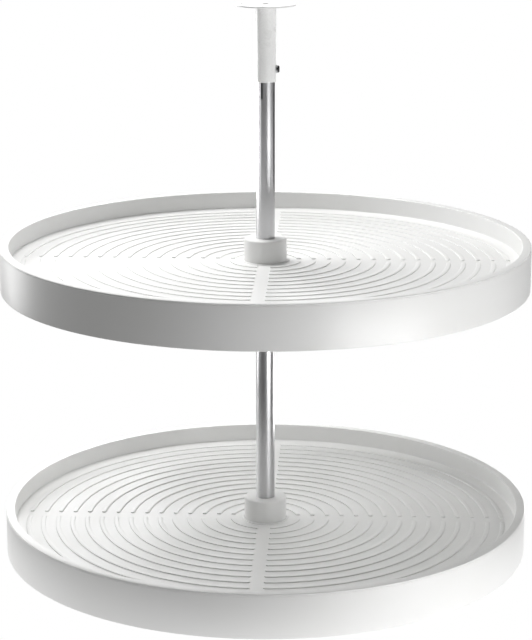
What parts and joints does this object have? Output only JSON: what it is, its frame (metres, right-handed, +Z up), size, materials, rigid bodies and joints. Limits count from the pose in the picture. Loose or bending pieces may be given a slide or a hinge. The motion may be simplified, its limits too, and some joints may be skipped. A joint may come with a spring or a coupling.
{
  "type": "corner cabinet lazy susan turntable",
  "caption": "Two round trays with upright rims turning on a steel post with a slotted top, a telescoping top sleeve and screw-down mounting discs.",
  "frame": {"origin": "post axis on the underside of the base plate, the cabinet floor", "axes": "+Z up along the post, -Y the front of the unit, +X to its right seen from the front"},
  "size_m": [0.71, 0.71, 0.76],
  "materials": {
    "tray_plastic": "satin moulded white",
    "hub_plastic": "satin moulded white",
    "white_powder_coat": "smooth white powder coat",
    "post_steel": "satin plated tube",
    "black_steel": "black oxide",
    "zinc_steel": "zinc plated",
    "bearing_steel": "polished",
    "cage_nylon": "natural nylon"
  },
  "bodies": {
    "post": {"post": "post_steel", "base_plate": "white_powder_coat", "base_socket": "white_powder_coat"},
    "base_screw": {"base_screw": "black_steel"},
    "top_fitting": {"top_sleeve": "white_powder_coat", "top_flange": "white_powder_coat", "lock_nut": "zinc_steel"},
    "lock_screw": {"lock_screw": "black_steel"},
    "lower_support": {"lower_collar": "zinc_steel", "lower_bottom_race": "bearing_steel"},
    "lower_collar_screw": {"lower_collar_screw": "black_steel"},
    "lower_shelf": {"lower_tray_floor": "tray_plastic", "lower_tray_rim": "tray_plastic", "lower_hub": "hub_plastic", "lower_hub_screws": "zinc_steel", "lower_top_race": "bearing_steel"},
    "lower_bearing": {"lower_cage": "cage_nylon", "lower_balls": "bearing_steel"},
    "upper_support": {"upper_collar": "zinc_steel", "upper_bottom_race": "bearing_steel"},
    "upper_collar_screw": {"upper_collar_screw": "black_steel"},
    "upper_shelf": {"upper_tray_floor": "tray_plastic", "upper_tray_rim": "tray_plastic", "upper_hub": "hub_plastic", "upper_hub_screws": "zinc_steel", "upper_top_race": "bearing_steel"},
    "upper_bearing": {"upper_cage": "cage_nylon", "upper_balls": "bearing_steel"}
  },
  "joints": [
    {"name": "base_screw_turn", "type": "hinge", "parent": "post", "child": "base_screw", "pos_m": [0, -0.0157, 0.011], "axis": [0, -1, 0], "range_deg": [0, 720]},
    {"name": "top_fitting_slide", "type": "slide", "parent": "post", "child": "top_fitting", "axis": [0, 0, 1], "range_m": [-0.04, 0.03]},
    {"name": "lock_screw_turn", "type": "hinge", "parent": "top_fitting", "child": "lock_screw", "pos_m": [0.0157, 0, 0.674], "axis": [1, 0, 0], "range_deg": [0, 720]},
    {"name": "lower_height", "type": "slide", "parent": "post", "child": "lower_support", "axis": [0, 0, 1], "range_m": [0, 0.12]},
    {"name": "lower_collar_screw_turn", "type": "hinge", "parent": "lower_support", "child": "lower_collar_screw", "pos_m": [0.017, 0, 0.0271], "axis": [1, 0, 0], "range_deg": [0, 720]},
    {"name": "lower_shelf_spin", "type": "hinge", "parent": "lower_support", "child": "lower_shelf", "pos_m": [0, 0, 0.0512], "axis": [0, 0, 1], "continuous": true},
    {"name": "lower_bearing_spin", "type": "hinge", "parent": "lower_support", "child": "lower_bearing", "pos_m": [0, 0, 0.03705], "axis": [0, 0, 1], "continuous": true},
    {"name": "upper_height", "type": "slide", "parent": "post", "child": "upper_support", "axis": [0, 0, 1], "range_m": [-0.12, 0.12]},
    {"name": "upper_collar_screw_turn", "type": "hinge", "parent": "upper_support", "child": "upper_collar_screw", "pos_m": [0.017, 0, 0.3911], "axis": [1, 0, 0], "range_deg": [0, 720]},
    {"name": "upper_shelf_spin", "type": "hinge", "parent": "upper_support", "child": "upper_shelf", "pos_m": [0, 0, 0.4152], "axis": [0, 0, 1], "continuous": true},
    {"name": "upper_bearing_spin", "type": "hinge", "parent": "upper_support", "child": "upper_bearing", "pos_m": [0, 0, 0.40105], "axis": [0, 0, 1], "continuous": true}
  ],
  "couplings": [
    {"joint": "lower_bearing_spin", "follows": "lower_shelf_spin", "ratio": 0.5},
    {"joint": "upper_bearing_spin", "follows": "upper_shelf_spin", "ratio": 0.5}
  ]
}
